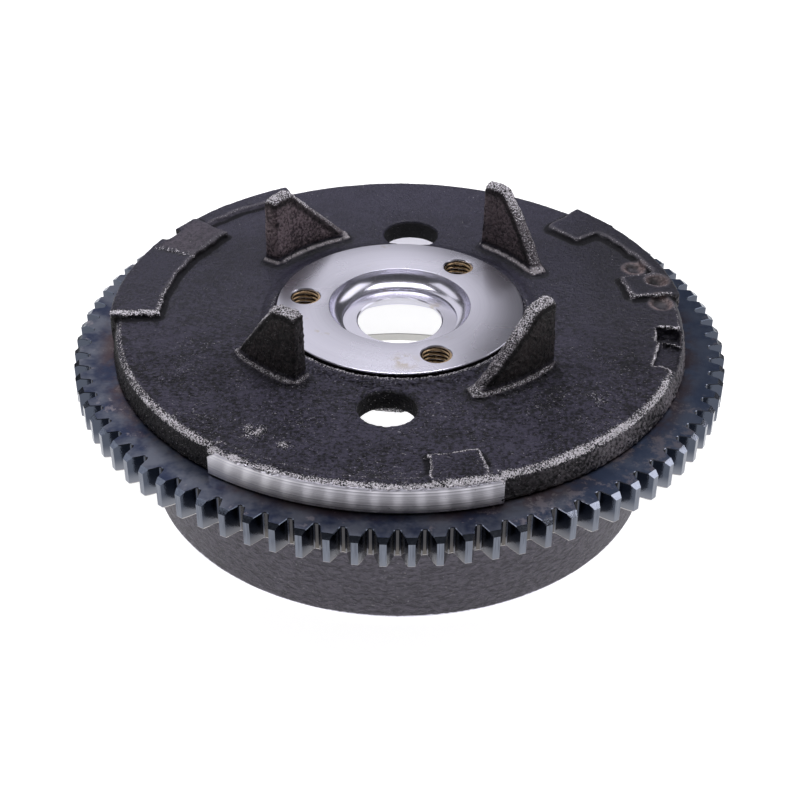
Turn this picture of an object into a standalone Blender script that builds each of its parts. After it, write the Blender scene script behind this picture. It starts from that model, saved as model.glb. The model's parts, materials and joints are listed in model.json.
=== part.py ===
"""Flywheel of a small engine, with its starter ring gear and its charging magnets.

Metres, +Z up. The origin is the centre of the skirt's mouth: the flywheel stands on its skirt.
The iron casting is one solid. The ring gear is shrunk on from below, up to the rim's shoulder.
Twelve magnets, their retainer and their sleeve sit inside the skirt.
"""
import bpy
import bmesh
from math import cos, pi, radians, sin
from mathutils import Matrix, Vector

MM = 0.001
FIT_GAP = 0.3 * MM            # clearance between neighbouring pieces

TURN_STEPS = 72               # facets of a turned piece
CUT_BELOW = 40.0 * MM         # a through cutter's two ends
CUT_ABOVE = 70.0 * MM
OVERRUN = 0.2 * MM            # how far a conical cutter runs past the face it opens

# Ring gear
GEAR_TEETH = 84
GEAR_MODULE = 2.5 * MM
TOOTH_DEPTH = 5.1 * MM
TIP_RADIUS = GEAR_MODULE * (GEAR_TEETH + 2) / 2
ROOT_RADIUS = TIP_RADIUS - TOOTH_DEPTH
TIP_LAND = 2.0 * MM           # width of a tooth at its tip
TOOTH_BASE = 6.6 * MM         # width of a tooth at its root
GEAR_TOP = 50.0 * MM
GEAR_THICKNESS = 9.6 * MM
FIRST_TOOTH_DEG = 237.76

# Rim and web
RIM_EDGE_RADIUS = 93.1 * MM   # at the plate's top
RIM_FOOT_RADIUS = 94.6 * MM   # at the gear, wider by the mould's draft
PLATE_TOP = 58.5 * MM
WEB_THICKNESS = 7.2 * MM
GEAR_SEAT_RADIUS = 91.0 * MM
GEAR_SEAT_OVERRUN = 0.8 * MM  # how far the seat runs on below the gear
RIM_BEVEL = 1.0 * MM
WEB_ROUND = 5.0 * MM          # inside corner of skirt and web

# Skirt
SKIRT_TOP_RADIUS = 87.4 * MM
SKIRT_MOUTH_RADIUS = 85.5 * MM
SKIRT_TOP = 38.0 * MM
SKIRT_BORE = 76.8 * MM
SKIRT_INNER_RADIUS = 71.5 * MM
MAGNET_SHOULDER = 36.0 * MM
MOUTH_BEVEL = 1.0 * MM

# Hub
HUB_RADIUS = 40.8 * MM
HUB_TOP = 61.0 * MM
HUB_BOTTOM = 47.0 * MM
HUB_FOOT_RADIUS = 42.0 * MM
HUB_FOOT_DRAFT = 2.0 * MM
HUB_BREAK = 0.3 * MM          # broken edge of the hub's face
HUB_FILLET = 0.6 * MM
RECESS_RADIUS = 23.3 * MM
RECESS_FLOOR = 55.1 * MM
RECESS_ROUND = 2.3 * MM
RECESS_DRAFT = 0.3 * MM
RECESS_RISE = 3.4 * MM        # from the recess's floor to the middle of its round corner
STEP_RADIUS = 18.9 * MM
STEP_HEIGHT = 0.8 * MM
STEP_SLOPE = 0.5 * MM
BORE_RADIUS = 14.0 * MM
BORE_LIP = 1.2 * MM
BORE_BREAK = 0.4 * MM
PILOT_RADIUS = 22.0 * MM

# Bolt holes in the hub
BOLT_CIRCLE_RADIUS = 31.9 * MM
BOLT_COUNT = 3
BOLT_FIRST_DEG = 51.3
BOLT_HOLE_RADIUS = 4.25 * MM
BOLT_CHAMFER_RADIUS = 5.15 * MM

# Holes through the web: centre x, centre y, radius
WEB_HOLES = (
    (3.8 * MM, 52.3 * MM, 9.7 * MM),
    (-3.6 * MM, -55.3 * MM, 9.3 * MM),
)

# Lugs on the web, each an upright wall bent round the hub: angle and radius of its tall end,
# then of its low end
LUG_HEIGHT = 25.5 * MM
LUG_EMBED = 3.0 * MM
LUG_THICK = 6.6 * MM
LUG_THIN = 4.8 * MM
LUG_CREST = 8.5 * MM          # level length of a lug's top
LUG_TIP_HEIGHT = 2.2 * MM
LUG_DRAFT = 0.8               # width at the top over width at the foot
LUG_ROUND = 1.4 * MM
LUGS = (
    (146.1, 53.6 * MM, 111.8, 52.8 * MM),
    (56.2, 54.2 * MM, 26.4, 53.0 * MM),
    (234.4, 51.8 * MM, 207.4, 56.0 * MM),
    (326.6, 55.2 * MM, 294.6, 53.6 * MM),
)

# Raised patches of the rim: inner radius at either end, outer radius, from, to (degrees), top
LEDGE_OUTER = 95.2 * MM
STAGGER = 0.07 * MM
LEDGES = {
    "ledge_left": (78.2 * MM, 79.0 * MM, LEDGE_OUTER, 156.0, 184.4, 60.8 * MM),
    "ledge_left_high": (78.1 * MM, 77.9 * MM, 92.5 * MM, 141.9, 156.5, 61.4 * MM),
    "ledge_left_lip": (90.0 * MM, 90.0 * MM, LEDGE_OUTER, 142.0, 147.9, 61.3 * MM),
    "ledge_step_lip": (90.0 * MM, 90.0 * MM, LEDGE_OUTER, 152.6, 156.4, 61.2 * MM),
    "ledge_rear_left": (87.6 * MM, 88.9 * MM, LEDGE_OUTER, 117.0, 143.0, 60.6 * MM),
    "ledge_rear_right": (77.4 * MM, 77.0 * MM, LEDGE_OUTER, 35.9, 46.8, 60.5 * MM),
    "ledge_right": (90.2 * MM, 87.0 * MM, LEDGE_OUTER, 15.0, 36.4, 60.4 * MM),
    "ledge_drilled": (77.6 * MM, 77.6 * MM, LEDGE_OUTER, 5.6, 15.4, 60.4 * MM),
    "low_block": (80.4 * MM, 80.4 * MM, 94.8 * MM, 275.6, 286.4, 60.0 * MM),
}
# Sunk patches of the rim: inner radius, outer radius, from, to (degrees), floor
POCKETS = {
    "pocket_flat": (85.6 * MM, 92.6 * MM, 338.6, 347.6, 56.0 * MM),
    "pocket_deep": (84.4 * MM, 92.6 * MM, 347.9, 353.9, 53.4 * MM),
}
# Conical balance drillings: radius from the axis, angle, mouth height
DIMPLE_RADIUS = 4.1 * MM
DIMPLE_DEPTH = 4.0 * MM
DIMPLE_TIP = 0.2 * MM
DIMPLES = (
    (86.1 * MM, 19.6, 59.4 * MM),
    (89.5 * MM, 11.6, 60.4 * MM),
    (87.7 * MM, 3.7, 59.4 * MM),
)
# Machined band round part of the rim
BAND_RADIUS = 95.6 * MM
BAND_INNER = 90.0 * MM
BAND_TOP = 59.0 * MM
BAND_FROM_DEG = 234.3
BAND_TO_DEG = 288.4

# Magnets and what holds them
MAGNET_COUNT = 12
MAGNET_OUTER = SKIRT_BORE - FIT_GAP
MAGNET_INNER = 70.0 * MM
MAGNET_SPAN_DEG = 25.0
MAGNET_BOTTOM = 5.3 * MM
MAGNET_TOP = 35.0 * MM
SLEEVE_WALL = 0.6 * MM
SLEEVE_OUTER = MAGNET_INNER - FIT_GAP
SLEEVE_TOP = MAGNET_SHOULDER - FIT_GAP
RETAINER_BOTTOM = 2.0 * MM
RETAINER_TOP = MAGNET_BOTTOM - FIT_GAP
RIB_SIDE_DEG = 0.3            # clearance between a rib and a magnet
RIB_SPAN_DEG = 360 / MAGNET_COUNT - MAGNET_SPAN_DEG - 2 * RIB_SIDE_DEG
RIB_BOTTOM = 3.0 * MM
RIB_TOP = 34.5 * MM
RIB_EMBED = 0.1 * MM

# Colour, metallic, roughness
IRON = ((0.040, 0.037, 0.048, 1), 0.4, 0.62)
GEAR_STEEL = ((0.13, 0.15, 0.18, 1), 0.9, 0.42)
FERRITE = ((0.035, 0.035, 0.038, 1), 0.1, 0.6)
NYLON = ((0.60, 0.59, 0.56, 1), 0.0, 0.5)
STAINLESS = ((0.66, 0.66, 0.65, 1), 1.0, 0.25)


def clear_scene():
    for item in list(bpy.data.objects):
        bpy.data.objects.remove(item, do_unlink=True)


def collection(name):
    group = bpy.data.collections.new(name)
    bpy.context.scene.collection.children.link(group)
    return group


def material(name, look):
    colour, metallic, roughness = look
    made = bpy.data.materials.new(name)
    made.use_nodes = True
    shader = made.node_tree.nodes["Principled BSDF"]
    shader.inputs["Base Color"].default_value = colour
    shader.inputs["Metallic"].default_value = metallic
    shader.inputs["Roughness"].default_value = roughness
    made.diffuse_color = colour
    return made


def polar(radius, degrees, z=0.0):
    return Vector((radius * cos(radians(degrees)), radius * sin(radians(degrees)), z))


def arc(centre_r, centre_z, radius, start_deg, end_deg, steps):
    """Points of a round corner of a turned profile, as (radius, z)."""
    span = end_deg - start_deg
    angles = [radians(start_deg + span * i / steps) for i in range(steps + 1)]
    return [(centre_r + radius * cos(a), centre_z + radius * sin(a)) for a in angles]


def mesh_object(name, bm, group):
    mesh = bpy.data.meshes.new(name)
    bm.to_mesh(mesh)
    bm.free()
    made = bpy.data.objects.new(name, mesh)
    group.objects.link(made)
    return made


def turned(name, profile, group, steps=TURN_STEPS):
    """Revolve a closed profile of (radius, z) points, listed down its outer side first."""
    bm = bmesh.new()
    points = [bm.verts.new((r, 0.0, z)) for r, z in profile]
    for i, point in enumerate(points):
        bm.edges.new((point, points[(i + 1) % len(points)]))
    made = mesh_object(name, bm, group)
    screw = made.modifiers.new("turn", "SCREW")
    screw.axis = "Z"
    screw.steps = steps
    screw.render_steps = steps
    screw.use_merge_vertices = True
    screw.merge_threshold = 0.00001
    return made


def extruded(name, outline, bottom, top, group):
    """A prism on a flat outline of (x, y) points, listed anticlockwise."""
    bm = bmesh.new()
    face = bm.faces.new([bm.verts.new((x, y, bottom)) for x, y in outline])
    face.normal_flip()
    lifted = bmesh.ops.extrude_face_region(bm, geom=[face])
    verts = [v for v in lifted["geom"] if isinstance(v, bmesh.types.BMVert)]
    bmesh.ops.translate(bm, verts=verts, vec=(0, 0, top - bottom))
    bmesh.ops.recalc_face_normals(bm, faces=bm.faces)
    return mesh_object(name, bm, group)


def sector(inner, outer, start_deg, end_deg, step_deg=4.0, inner_end=None):
    """Outline of a piece of a ring, anticlockwise. Its inner side may run to another radius."""
    steps = max(1, round((end_deg - start_deg) / step_deg))
    rise = 0.0 if inner_end is None else inner_end - inner
    out = []
    back = []
    for i in range(steps + 1):
        share = i / steps
        angle = start_deg + (end_deg - start_deg) * share
        out.append(polar(outer, angle).xy)
        back.append(polar(inner + rise * share, angle).xy)
    return out + back[::-1]


def cone(name, centre, lower_radius, upper_radius, bottom, top, group, sides=24):
    """An upright cylinder or cone."""
    bm = bmesh.new()
    middle = Matrix.Translation((centre[0], centre[1], (bottom + top) / 2))
    bmesh.ops.create_cone(
        bm, cap_ends=True, segments=sides, radius1=lower_radius, radius2=upper_radius,
        depth=top - bottom, matrix=middle,
    )
    return mesh_object(name, bm, group)


def boolean(target, cutter, operation):
    cut = target.modifiers.new(cutter.name, "BOOLEAN")
    cut.operation = operation
    cut.solver = "EXACT"
    cut.object = cutter


def hide(tool):
    tool.hide_render = True
    tool.display_type = "WIRE"


def casting_profile():
    """The casting's section, from the rim's top edge down the outside and back up the inside."""
    web_bottom = PLATE_TOP - WEB_THICKNESS
    shoulder = GEAR_TOP + FIT_GAP
    seat_foot = GEAR_TOP - GEAR_THICKNESS - GEAR_SEAT_OVERRUN
    outside = [
        (RIM_EDGE_RADIUS - RIM_BEVEL, PLATE_TOP),
        (RIM_EDGE_RADIUS, PLATE_TOP - RIM_BEVEL),
        (RIM_FOOT_RADIUS, shoulder),
        (GEAR_SEAT_RADIUS, shoulder),
        (GEAR_SEAT_RADIUS, seat_foot),
        (SKIRT_TOP_RADIUS, SKIRT_TOP),
        (SKIRT_MOUTH_RADIUS, MOUTH_BEVEL),
        (SKIRT_MOUTH_RADIUS - MOUTH_BEVEL, 0.0),
    ]
    inside = [
        (SKIRT_BORE + MOUTH_BEVEL, 0.0),
        (SKIRT_BORE, MOUTH_BEVEL),
        (SKIRT_BORE, MAGNET_SHOULDER),
        (SKIRT_INNER_RADIUS, MAGNET_SHOULDER),
    ]
    corner_r = SKIRT_INNER_RADIUS - WEB_ROUND
    corner = arc(corner_r, web_bottom - WEB_ROUND, WEB_ROUND, 0, 90, 3)
    bore = [
        (HUB_FOOT_RADIUS + HUB_FOOT_DRAFT, web_bottom),
        (HUB_FOOT_RADIUS, HUB_BOTTOM),
        (PILOT_RADIUS, HUB_BOTTOM),
        (PILOT_RADIUS, RECESS_FLOOR - BORE_LIP),
        (BORE_RADIUS, RECESS_FLOOR - BORE_LIP),
        (BORE_RADIUS + BORE_BREAK, RECESS_FLOOR),
        (STEP_RADIUS, RECESS_FLOOR),
        (STEP_RADIUS + STEP_SLOPE, RECESS_FLOOR + STEP_HEIGHT),
    ]
    round_r = RECESS_RADIUS - RECESS_ROUND - RECESS_DRAFT
    recess = arc(round_r, RECESS_FLOOR + RECESS_RISE, RECESS_ROUND, 285, 360, 3)
    face = [
        (RECESS_RADIUS, HUB_TOP),
        (HUB_RADIUS - HUB_BREAK, HUB_TOP),
        (HUB_RADIUS, HUB_TOP - HUB_BREAK),
        (HUB_RADIUS, PLATE_TOP + HUB_FILLET),
        (HUB_RADIUS + HUB_FILLET, PLATE_TOP),
    ]
    return outside + inside + corner + bore + recess + face


def lug(name, tall_deg, tall_radius, low_deg, low_radius, group):
    """A tapering upright lug: a crest at its tall end, then a straight slope to its low end."""
    length = radians(abs(tall_deg - low_deg)) * (tall_radius + low_radius) / 2
    embed = PLATE_TOP - LUG_EMBED
    top = PLATE_TOP + LUG_HEIGHT
    tip = PLATE_TOP + LUG_TIP_HEIGHT
    slope = [LUG_CREST + (length - LUG_CREST) * i / 3 for i in range(4)]
    # distance along the lug, height of its crest
    stations = [(0.0, top - LUG_ROUND), (LUG_ROUND, top)]
    for reach in slope:
        stations.append((reach, top + (tip - top) * (reach - LUG_CREST) / (length - LUG_CREST)))
    bm = bmesh.new()
    rings = []
    for reach, height in stations:
        share = reach / length
        half = (LUG_THICK + (LUG_THIN - LUG_THICK) * share) / 2
        draft = 1 - (1 - LUG_DRAFT) * (height - PLATE_TOP) / LUG_HEIGHT
        radius = tall_radius + (low_radius - tall_radius) * share
        angle = tall_deg + (low_deg - tall_deg) * share
        section = (
            (-half, embed),
            (half, embed),
            (half * draft, height - LUG_ROUND),
            (half * draft * 0.5, height),
            (-half * draft * 0.5, height),
            (-half * draft, height - LUG_ROUND),
        )
        rings.append([bm.verts.new(polar(radius + offset, angle, z)) for offset, z in section])
    for near, far in zip(rings, rings[1:]):
        for i in range(len(near)):
            j = (i + 1) % len(near)
            bm.faces.new((near[i], near[j], far[j], far[i]))
    bm.faces.new(rings[0])
    bm.faces.new(rings[-1])
    bmesh.ops.recalc_face_normals(bm, faces=bm.faces)
    return mesh_object(name, bm, group)


def make_casting(parts, tools):
    body = turned("flywheel_casting", casting_profile(), parts)
    wall_foot = GEAR_TOP + 2 * FIT_GAP
    added = [lug(f"lug_{i}", *ends, tools) for i, ends in enumerate(LUGS)]
    for i, (name, (inner, inner_end, outer, start, end, top)) in enumerate(LEDGES.items()):
        # a small stagger, so that no two neighbours share a face
        outline = sector(inner, outer - STAGGER * i, start, end, inner_end=inner_end)
        added.append(extruded(name, outline, wall_foot + STAGGER * i, top, tools))
    band = sector(BAND_INNER, BAND_RADIUS, BAND_FROM_DEG, BAND_TO_DEG, 5.0)
    added.append(extruded("band", band, wall_foot - STAGGER, BAND_TOP, tools))

    cut = []
    for i, (x, y, radius) in enumerate(WEB_HOLES):
        cut.append(cone(f"web_hole_{i}", (x, y), radius, radius, CUT_BELOW, CUT_ABOVE, tools, 32))
    for i in range(BOLT_COUNT):
        centre = polar(BOLT_CIRCLE_RADIUS, BOLT_FIRST_DEG + 360 / BOLT_COUNT * i)
        hole = (BOLT_HOLE_RADIUS, BOLT_HOLE_RADIUS, CUT_BELOW, CUT_ABOVE)
        cut.append(cone(f"tap_{i}", centre, *hole, tools))
        # 45 degree chamfer, run on past the face so that the cut is clean
        depth = BOLT_CHAMFER_RADIUS - BOLT_HOLE_RADIUS
        ends = (BOLT_HOLE_RADIUS - OVERRUN, BOLT_CHAMFER_RADIUS + OVERRUN)
        span = (HUB_TOP - depth - OVERRUN, HUB_TOP + OVERRUN)
        cut.append(cone(f"tap_chamfer_{i}", centre, *ends, *span, tools))
    for i, (radius, angle, mouth) in enumerate(DIMPLES):
        centre = polar(radius, angle)
        wide = DIMPLE_RADIUS * (DIMPLE_DEPTH + OVERRUN) / DIMPLE_DEPTH
        span = (mouth - DIMPLE_DEPTH, mouth + OVERRUN)
        cut.append(cone(f"dimple_{i}", centre, DIMPLE_TIP, wide, *span, tools, 16))
    for name, (inner, outer, start, end, floor) in POCKETS.items():
        cut.append(extruded(name, sector(inner, outer, start, end, 6.0), floor, CUT_ABOVE, tools))

    for tool in added:
        hide(tool)
        boolean(body, tool, "UNION")
    for tool in cut:
        hide(tool)
        boolean(body, tool, "DIFFERENCE")
    return body


def make_ring_gear(parts):
    pitch = 360 / GEAR_TEETH
    half_tip = TIP_LAND / TIP_RADIUS / 2 * 180 / pi
    half_base = TOOTH_BASE / ROOT_RADIUS / 2 * 180 / pi
    outline = []
    for i in range(GEAR_TEETH):
        centre = FIRST_TOOTH_DEG + pitch * i
        outline.append(polar(ROOT_RADIUS, centre - half_base).xy)
        outline.append(polar(TIP_RADIUS, centre - half_tip).xy)
        outline.append(polar(TIP_RADIUS, centre + half_tip).xy)
        outline.append(polar(ROOT_RADIUS, centre + half_base).xy)
    bottom = GEAR_TOP - GEAR_THICKNESS
    inner = GEAR_SEAT_RADIUS + FIT_GAP
    bm = bmesh.new()
    sides = TURN_STEPS
    inside = [polar(inner, FIRST_TOOTH_DEG + 360 / sides * i).xy for i in range(sides)]
    layers = []
    for z in (bottom, GEAR_TOP):
        outer_loop = [bm.verts.new((p.x, p.y, z)) for p in outline]
        inner_loop = [bm.verts.new((p.x, p.y, z)) for p in inside]
        edges = []
        for loop in (outer_loop, inner_loop):
            edges += [bm.edges.new((loop[i], loop[(i + 1) % len(loop)])) for i in range(len(loop))]
        bmesh.ops.triangle_fill(bm, use_beauty=True, edges=edges)
        layers.append((outer_loop, inner_loop))
    for low, high in zip(*layers):
        for i in range(len(low)):
            j = (i + 1) % len(low)
            bm.faces.new((low[i], low[j], high[j], high[i]))
    bmesh.ops.recalc_face_normals(bm, faces=bm.faces)
    return mesh_object("ring_gear", bm, parts)


def make_magnets(parts, look):
    pitch = 360 / MAGNET_COUNT
    outline = sector(MAGNET_INNER, MAGNET_OUTER, -MAGNET_SPAN_DEG / 2, MAGNET_SPAN_DEG / 2, 5.0)
    shared = None
    for i in range(MAGNET_COUNT):
        name = f"magnet_{i + 1:02d}"
        if shared is None:
            magnet = extruded(name, outline, MAGNET_BOTTOM, MAGNET_TOP, parts)
            magnet.data.materials.append(look)
            shared = magnet.data
        else:
            magnet = bpy.data.objects.new(name, shared)
            parts.objects.link(magnet)
        magnet.rotation_euler = (0, 0, radians(pitch * i))


def make_retainer(parts, tools):
    sleeve_inner = SLEEVE_OUTER - SLEEVE_WALL
    ring = turned("magnet_retainer", [
        (MAGNET_OUTER, RETAINER_TOP),
        (MAGNET_OUTER, RETAINER_BOTTOM),
        (sleeve_inner, RETAINER_BOTTOM),
        (sleeve_inner, RETAINER_TOP),
    ], parts)
    pitch = 360 / MAGNET_COUNT
    for i in range(MAGNET_COUNT):
        centre = pitch * (i + 0.5)
        span = RIB_SPAN_DEG / 2
        outline = sector(MAGNET_INNER, MAGNET_OUTER - RIB_EMBED, centre - span, centre + span)
        rib = extruded(f"rib_{i}", outline, RIB_BOTTOM, RIB_TOP, tools)
        hide(rib)
        boolean(ring, rib, "UNION")
    return ring


def make_sleeve(parts):
    inner = SLEEVE_OUTER - SLEEVE_WALL
    return turned("magnet_sleeve", [
        (SLEEVE_OUTER, SLEEVE_TOP),
        (SLEEVE_OUTER, MAGNET_BOTTOM),
        (inner, MAGNET_BOTTOM),
        (inner, SLEEVE_TOP),
    ], parts)


def shade(part):
    part.data.shade_smooth()
    part.data.set_sharp_from_angle(angle=radians(30))


def main():
    clear_scene()
    parts = collection("flywheel")
    tools = collection("tools")
    pieces = (
        (make_casting(parts, tools), material("cast_iron", IRON)),
        (make_ring_gear(parts), material("gear_steel", GEAR_STEEL)),
        (make_retainer(parts, tools), material("nylon", NYLON)),
        (make_sleeve(parts), material("stainless", STAINLESS)),
    )
    for part, look in pieces:
        part.data.materials.append(look)
        shade(part)
    make_magnets(parts, material("ferrite", FERRITE))


main()
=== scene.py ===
"""Looks of a small engine's flywheel: rough cast iron, turned bright faces, a blued ring gear and magnets.

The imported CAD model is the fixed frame. Sizes below are in millimetres times MM, so in metres.
The iron casting is drawn as several pieces: its rough cast skin, and the faces turned on a lathe.
"""
import json
import math

import bmesh
import bpy
import numpy as np
from mathutils import Matrix, Vector, noise


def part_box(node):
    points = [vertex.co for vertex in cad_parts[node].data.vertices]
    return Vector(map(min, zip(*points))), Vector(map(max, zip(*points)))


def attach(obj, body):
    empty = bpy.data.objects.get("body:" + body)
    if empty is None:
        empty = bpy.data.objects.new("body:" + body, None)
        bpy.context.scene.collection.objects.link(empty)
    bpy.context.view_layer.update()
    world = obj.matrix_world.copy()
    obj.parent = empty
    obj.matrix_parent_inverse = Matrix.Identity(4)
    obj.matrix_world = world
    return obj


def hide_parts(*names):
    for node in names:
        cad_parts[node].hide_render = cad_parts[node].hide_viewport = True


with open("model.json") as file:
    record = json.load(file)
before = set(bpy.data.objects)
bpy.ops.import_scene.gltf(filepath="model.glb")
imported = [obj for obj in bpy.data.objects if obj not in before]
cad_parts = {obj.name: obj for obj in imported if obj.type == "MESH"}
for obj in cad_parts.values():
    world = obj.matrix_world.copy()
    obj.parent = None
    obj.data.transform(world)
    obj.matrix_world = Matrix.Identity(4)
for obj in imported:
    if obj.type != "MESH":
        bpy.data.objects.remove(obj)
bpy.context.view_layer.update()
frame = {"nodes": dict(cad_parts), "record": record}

MM = 0.001
BODY = "root"

# ---- sizes read from the frame -------------------------------------------------------------
RECORD = frame["record"]
MOUNTS = {mount["name"]: mount["pos_m"] for mount in RECORD["mounts"]}
OPENINGS = {hole["name"]: hole["box_m"] for hole in RECORD["physics"]["openings"]}
GEAR_LOW, GEAR_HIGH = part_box("ring_gear")
MAGNET_LOW, MAGNET_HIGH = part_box("magnet_01")

HUB_TOP = MOUNTS["hub_face"][2]
HUB_BOTTOM = MOUNTS["crank_seat"][2]
GEAR_BOTTOM, GEAR_TOP = GEAR_LOW.z, GEAR_HIGH.z
GEAR_RADIUS = 107.45 * MM

# ---- sizes of the casting ------------------------------------------------------------------
PLATE_TOP = 58.5 * MM
HUB_RADIUS = 40.8 * MM
RECESS_RADIUS = 23.3 * MM
RECESS_FLOOR = 55.1 * MM
RECESS_ROUND = 4.9 * MM
STEP_RADIUS = 18.9 * MM
BORE_RADIUS = 14.0 * MM
BORE_LIP = 1.2 * MM
PILOT_RADIUS = 22.0 * MM
RIM_EDGE_RADIUS = 93.1 * MM
SKIRT_MOUTH_RADIUS = 85.5 * MM
SKIRT_BORE = 76.8 * MM
SKIRT_INNER_RADIUS = 71.5 * MM
WEB_BOTTOM = 51.3 * MM
WEB_ROUND = 5.0 * MM
MAGNET_SHOULDER = 36.0 * MM
BAND_RADIUS = 95.6 * MM
BAND_TOP = 59.0 * MM
BAND_FROM_DEG, BAND_TO_DEG = 234.3, 288.4
STAIN = (1.7 * MM, -34.0 * MM, HUB_TOP)    # an oily mark on the hub's turned face
THREAD_MINOR, THREAD_MAJOR, THREAD_PITCH = 4.25 * MM, 5.0 * MM, 1.5 * MM
CAD_FACETS = 72               # facets round the CAD casting
CORE_RADIUS = 40.0 * MM       # the turned hub fills the rough casting's middle
VOXEL = 0.5 * MM
CUT_OUT = 120 * MM            # cutters end here, well outside the part
CUT_TOP, CUT_BOTTOM = 100 * MM, -10 * MM

# Lugs on the web: angle and radius of the tall end, then of the low end
LUGS = (
    (146.1, 53.6 * MM, 111.8, 52.8 * MM),
    (56.2, 54.2 * MM, 26.4, 53.0 * MM),
    (234.4, 51.8 * MM, 207.4, 56.0 * MM),
    (326.6, 55.2 * MM, 294.6, 53.6 * MM),
)
LUG_THICK, LUG_THIN = 6.6 * MM, 4.8 * MM
PAD_MARGIN = 1.0 * MM
PAD_HEIGHT = 1.5 * MM

# ---- mesh helpers --------------------------------------------------------------------------
def shade(mesh, sharp_deg=35):
    """Smooth shading, with a crease where two faces meet at more than the angle."""
    mesh.shade_smooth()
    mesh.set_sharp_from_angle(angle=math.radians(sharp_deg))


def mesh_object(name, verts, faces, sharp_deg=35):
    mesh = bpy.data.meshes.new(name)
    mesh.from_pydata([tuple(v) for v in verts], [], [tuple(f) for f in faces])
    made = bpy.data.objects.new(name, mesh)
    bpy.context.scene.collection.objects.link(made)
    shade(mesh, sharp_deg)
    return made


def polar(radius, degrees, z=0.0):
    angle = math.radians(degrees)
    return (radius * math.cos(angle), radius * math.sin(angle), z)


def arc(centre_r, centre_z, radius, start_deg, end_deg, steps=8):
    angles = [math.radians(start_deg + (end_deg - start_deg) * i / steps) for i in range(steps + 1)]
    return [(centre_r + radius * math.cos(a), centre_z + radius * math.sin(a)) for a in angles]


def bar_faces(steps, count):
    """Faces of a bar with steps + 1 cross-sections of count points each, closed at both ends."""
    faces = []
    for i in range(steps):
        for j in range(count):
            k = (j + 1) % count
            a = i * count
            faces.append((a + j, a + k, a + count + k, a + count + j))
    faces.append(tuple(reversed(range(count))))
    faces.append(tuple(steps * count + j for j in range(count)))
    return faces


def lathe(name, profile, steps=256):
    """A closed profile of (radius, z), listed down its outer side first, turned about Z."""
    count = len(profile)
    verts = [polar(r, 360 * i / steps, z) for i in range(steps) for r, z in profile]
    faces = []
    for i in range(steps):
        near, far = i * count, (i + 1) % steps * count
        for j in range(count):
            k = (j + 1) % count
            faces.append((near + j, near + k, far + k, far + j))
    return mesh_object(name, verts, faces)


def boolean(target, cutter, operation="DIFFERENCE"):
    cut = target.modifiers.new("cut", "BOOLEAN")
    cut.operation = operation
    cut.solver = "EXACT"
    cut.object = cutter


def apply_modifiers(target):
    """Bakes an object's modifiers into its mesh and drops them."""
    graph = bpy.context.evaluated_depsgraph_get()
    mesh = bpy.data.meshes.new_from_object(target.evaluated_get(graph))
    target.modifiers.clear()
    old = target.data
    target.data = mesh
    bpy.data.meshes.remove(old)


def cut_all(target, cutters, operation="DIFFERENCE"):
    for cutter in cutters:
        boolean(target, cutter, operation)
    apply_modifiers(target)
    for cutter in cutters:
        bpy.data.objects.remove(cutter)


def points_of(mesh):
    flat = np.empty(len(mesh.vertices) * 3, np.float32)
    mesh.vertices.foreach_get("co", flat)
    return flat.reshape(-1, 3).astype(float)


def set_points(mesh, points):
    mesh.vertices.foreach_set("co", points.astype(np.float32).ravel())
    mesh.update()


def normals_of(mesh):
    flat = np.empty(len(mesh.vertices) * 3, np.float32)
    mesh.vertex_normals.foreach_get("vector", flat)
    return flat.reshape(-1, 3).astype(float)


def attribute(mesh, name, values):
    made = mesh.attributes.new(name, "FLOAT", "POINT")
    made.data.foreach_set("value", values.astype(np.float32))


def lumps(points, size, octaves=2, seed=0.0):
    """Noise of about -1 to 1 at each point, with lumps of the given size."""
    scaled = points / size + seed
    return np.array([noise.fractal(p, 1.0, 2.0, octaves) for p in scaled.tolist()])


def ramp(values, low, high):
    """0 below low, 1 above high, smooth between."""
    t = np.clip((values - low) / (high - low), 0, 1)
    return t * t * (3 - 2 * t)


class Neighbours:
    """Averages over each vertex's neighbours."""

    def __init__(self, mesh):
        ends = np.empty(len(mesh.edges) * 2, np.int32)
        mesh.edges.foreach_get("vertices", ends)
        a, b = ends.reshape(-1, 2).T
        self.start, self.end = np.concatenate((a, b)), np.concatenate((b, a))
        self.count = np.maximum(np.bincount(self.start, minlength=len(mesh.vertices)), 1)

    def mean(self, values):
        if values.ndim == 2:
            return np.stack([self.mean(column) for column in values.T], axis=1)
        total = np.bincount(self.start, weights=values[self.end], minlength=len(self.count))
        return total / self.count

    def smooth(self, values, rounds, share=0.5):
        for _ in range(rounds):
            values = values + share * (self.mean(values) - values)
        return values


# ---- the rough casting ---------------------------------------------------------------------
def casting_core_cutter():
    """What the turned pieces take from the rough casting: the hub, and the skirt's bore and mouth."""
    hub = lathe("cut_hub", [
        (HUB_RADIUS + 0.5 * MM, CUT_TOP),
        (HUB_RADIUS + 0.5 * MM, PLATE_TOP - 0.4 * MM),
        (CORE_RADIUS, PLATE_TOP - 0.8 * MM),
        (CORE_RADIUS, 40 * MM),
        (1 * MM, 40 * MM),
        (1 * MM, CUT_TOP),
    ], 128)
    wall = 2.5 * MM
    skirt = lathe("cut_skirt", [
        (SKIRT_INNER_RADIUS + wall, WEB_BOTTOM - WEB_ROUND),
        (SKIRT_INNER_RADIUS + wall, MAGNET_SHOULDER - 0.2 * MM),
        (SKIRT_BORE + wall, MAGNET_SHOULDER - 0.2 * MM),
        (SKIRT_BORE + wall, 0.9 * MM),
        (CUT_OUT, 0.9 * MM),
        (CUT_OUT, CUT_BOTTOM),
        (60 * MM, CUT_BOTTOM),
        (60 * MM, WEB_BOTTOM - WEB_ROUND),
    ], 128)
    return [hub, skirt]


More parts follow.
